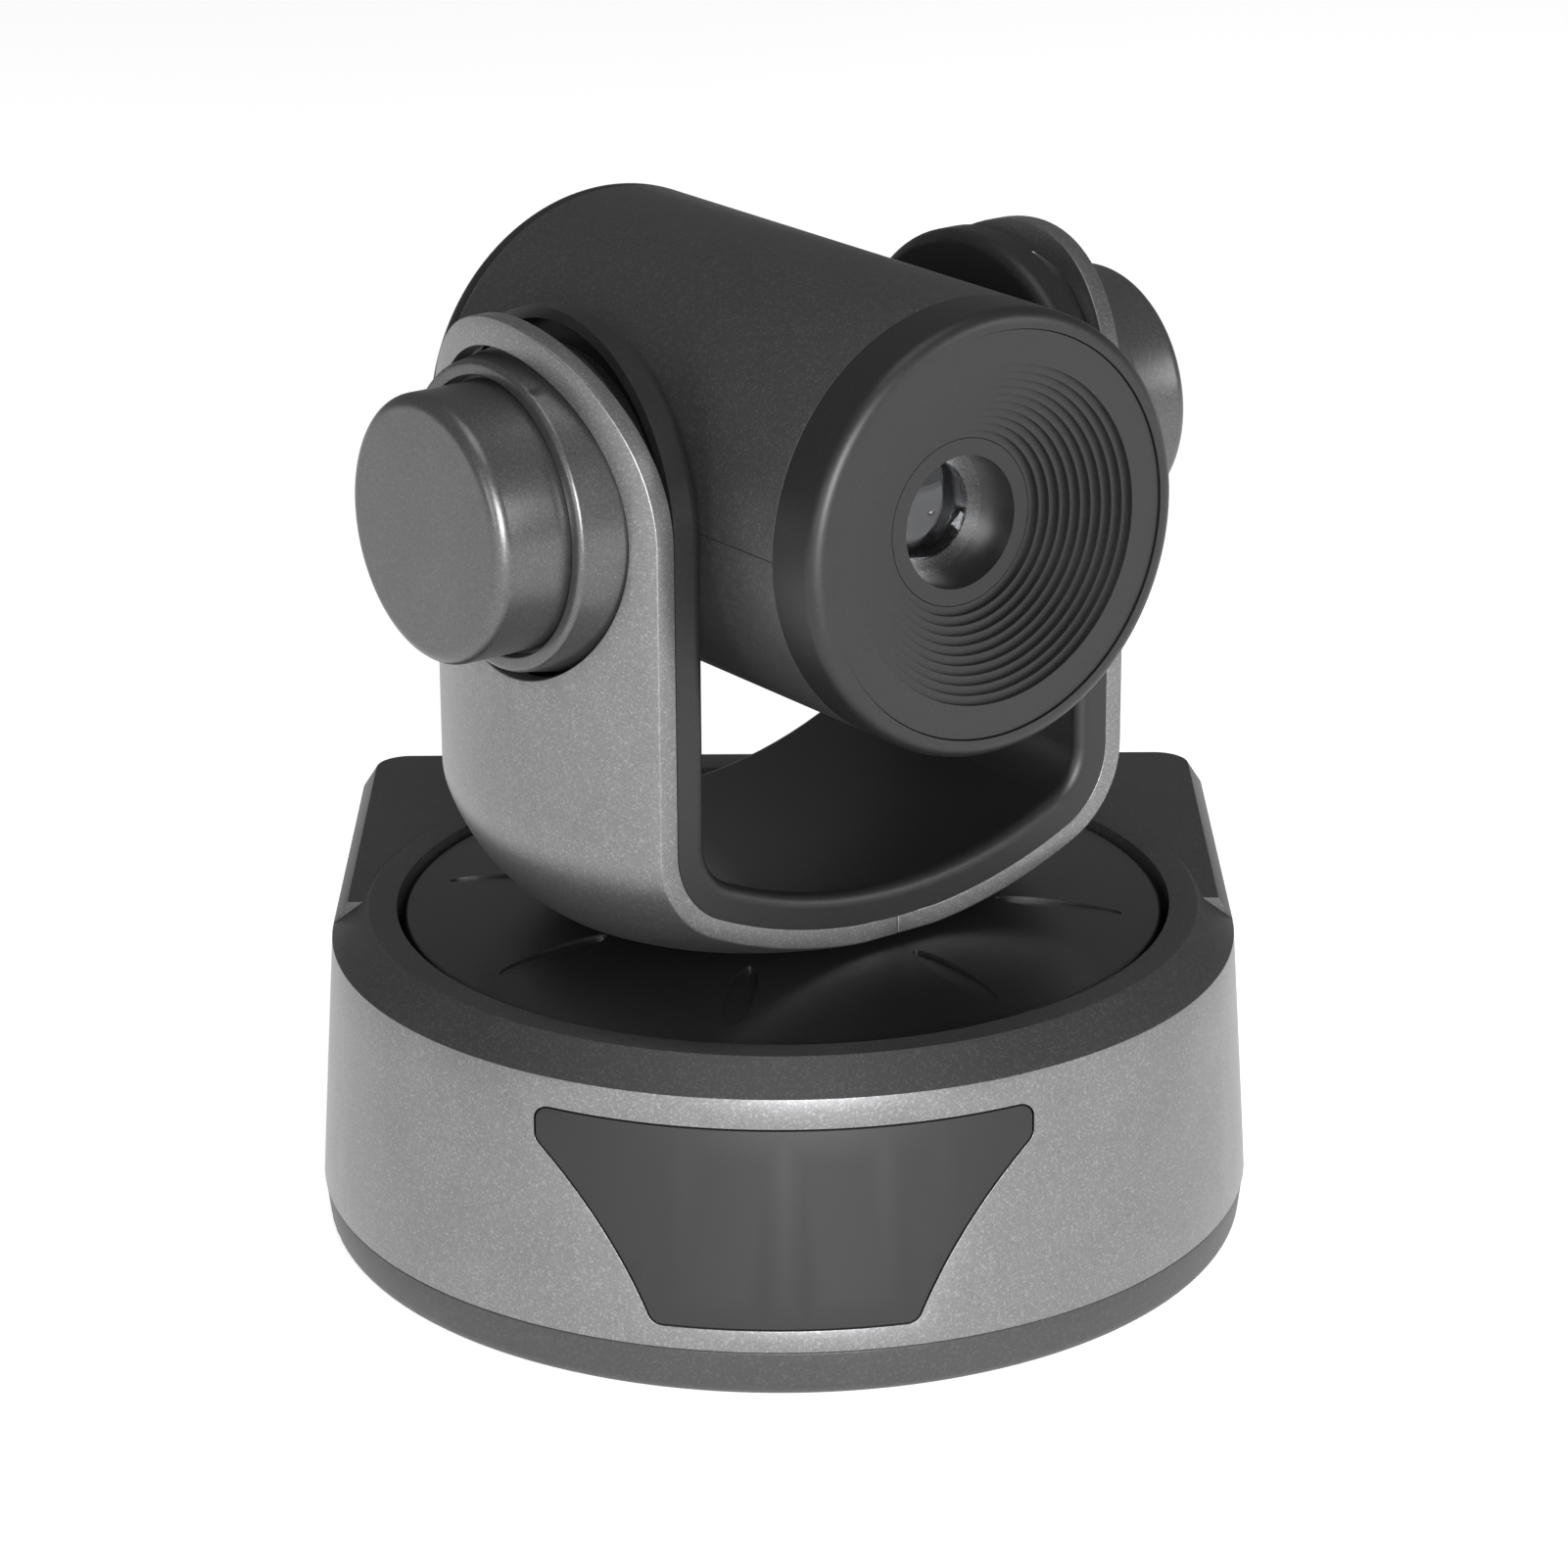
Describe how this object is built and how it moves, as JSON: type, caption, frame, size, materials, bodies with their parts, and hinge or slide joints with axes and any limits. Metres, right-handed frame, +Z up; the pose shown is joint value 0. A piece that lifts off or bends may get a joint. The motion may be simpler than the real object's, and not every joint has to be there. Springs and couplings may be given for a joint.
{
  "type": "ptz camera",
  "caption": "Desktop pan-tilt-zoom camera: round-fronted base, turntable with a U-shaped yoke, and a barrel head that tilts between two knobs.",
  "frame": {"origin": "on the surface that the feet stand on, below the pan axis", "axes": "+Z up along the pan axis; -Y towards the base's round front; at rest the head is panned 36.5 degrees from -Y towards +X"},
  "size_m": [0.128, 0.128, 0.138],
  "materials": {
    "silver_paint": "fine speckled metallic paint, satin",
    "dark_paint": "fine speckled dark grey paint, satin",
    "knob_paint": "fine speckled mid grey paint, satin",
    "black_plastic": "fine matt texture",
    "turntable_plastic": "smooth satin",
    "tray_plastic": "fine matt texture",
    "window_plastic": "smooth, dark, passes infrared",
    "white_plastic": "moulded acetal, smooth",
    "steel": "rolled and turned steel",
    "dark_steel": "blackened steel",
    "brass": "turned brass",
    "aluminium": "die-cast aluminium",
    "rubber": "matt moulded rubber",
    "board": "green solder mask",
    "chip": "moulded epoxy",
    "lens_glass": "coated optical glass",
    "led": "clear moulded epoxy"
  },
  "bodies": {
    "base": {"base_pan": "tray_plastic", "base_wall": "silver_paint", "base_cover": "dark_paint", "front_window": "window_plastic", "rear_panel": "black_plastic", "rubber_feet": "rubber", "tripod_insert": "brass", "base_screws": "dark_steel", "standoffs": "brass", "main_board": "board", "board_chips": "chip", "usb_port": "chip", "serial_ports": "chip", "dc_jack": "chip", "signal_board": "board", "ir_receiver": "chip", "status_leds": "led", "chassis_plate": "steel", "pan_motor": "dark_steel", "pan_bush": "white_plastic"},
    "pan_pinion": {"pan_pinion": "brass"},
    "yoke": {"pan_gear": "white_plastic", "pan_shaft": "steel", "shaft_clip": "dark_steel", "pan_disc": "turntable_plastic", "yoke_shell_left": "silver_paint", "yoke_shell_right": "silver_paint", "yoke_liner": "black_plastic", "yoke_frame": "steel", "tilt_bushings": "white_plastic", "boss_left": "knob_paint", "boss_right": "knob_paint", "cap_left": "knob_paint", "cap_right": "knob_paint", "tilt_motor": "dark_steel", "home_sensor_board": "board"},
    "head": {"barrel_top": "dark_paint", "barrel_bottom": "dark_paint", "rear_cover": "black_plastic", "rear_screws": "dark_steel", "bezel_ring": "black_plastic", "lens_hood": "black_plastic", "lens_housing": "black_plastic", "lens_tube": "black_plastic", "retaining_ring": "aluminium", "front_lens": "lens_glass", "guide_rods": "steel", "sensor_board": "board", "image_sensor": "chip", "video_board": "board", "head_bracket": "steel", "axle_left": "aluminium", "axle_right": "aluminium", "tilt_shaft": "steel"},
    "zoom_carriage": {"zoom_carriage": "black_plastic", "zoom_lens": "lens_glass"},
    "focus_carriage": {"focus_carriage": "black_plastic", "focus_lens": "lens_glass"},
    "zoom_screw": {"zoom_screw": "steel"},
    "focus_screw": {"focus_screw": "steel"}
  },
  "joints": [
    {"name": "pan", "type": "hinge", "parent": "base", "child": "yoke", "pos_m": [0, 0, 0.0453], "axis": [0, 0, 1], "range_deg": [-206.5, 133.5]},
    {"name": "pan_pinion_spin", "type": "hinge", "parent": "base", "child": "pan_pinion", "pos_m": [-0.0375, 0, 0.031], "axis": [0, 0, 1], "range_deg": [-540, 832]},
    {"name": "tilt", "type": "hinge", "parent": "yoke", "child": "head", "pos_m": [0, 0, 0.1087], "axis": [-0.8039, -0.5948, 0], "range_deg": [-30, 90]},
    {"name": "zoom_slide", "type": "slide", "parent": "head", "child": "zoom_carriage", "axis": [0.5948, -0.8039, 0], "range_m": [0, 0.014]},
    {"name": "focus_slide", "type": "slide", "parent": "head", "child": "focus_carriage", "axis": [0.5948, -0.8039, 0], "range_m": [-0.005, 0.005]},
    {"name": "zoom_screw_spin", "type": "hinge", "parent": "head", "child": "zoom_screw", "pos_m": [-0.00407, -0.00674, 0.11598], "axis": [0.5948, -0.8039, 0], "range_deg": [-1, 1261]},
    {"name": "focus_screw_spin", "type": "hinge", "parent": "head", "child": "focus_screw", "pos_m": [0.00764, 0.00192, 0.10142], "axis": [0.5948, -0.8039, 0], "range_deg": [-451, 451]}
  ],
  "couplings": [
    {"joint": "pan_pinion_spin", "follows": "pan", "ratio": -4},
    {"joint": "zoom_screw_spin", "follows": "zoom_slide", "rad_per_m": 1570.8},
    {"joint": "focus_screw_spin", "follows": "focus_slide", "rad_per_m": 1570.8}
  ]
}
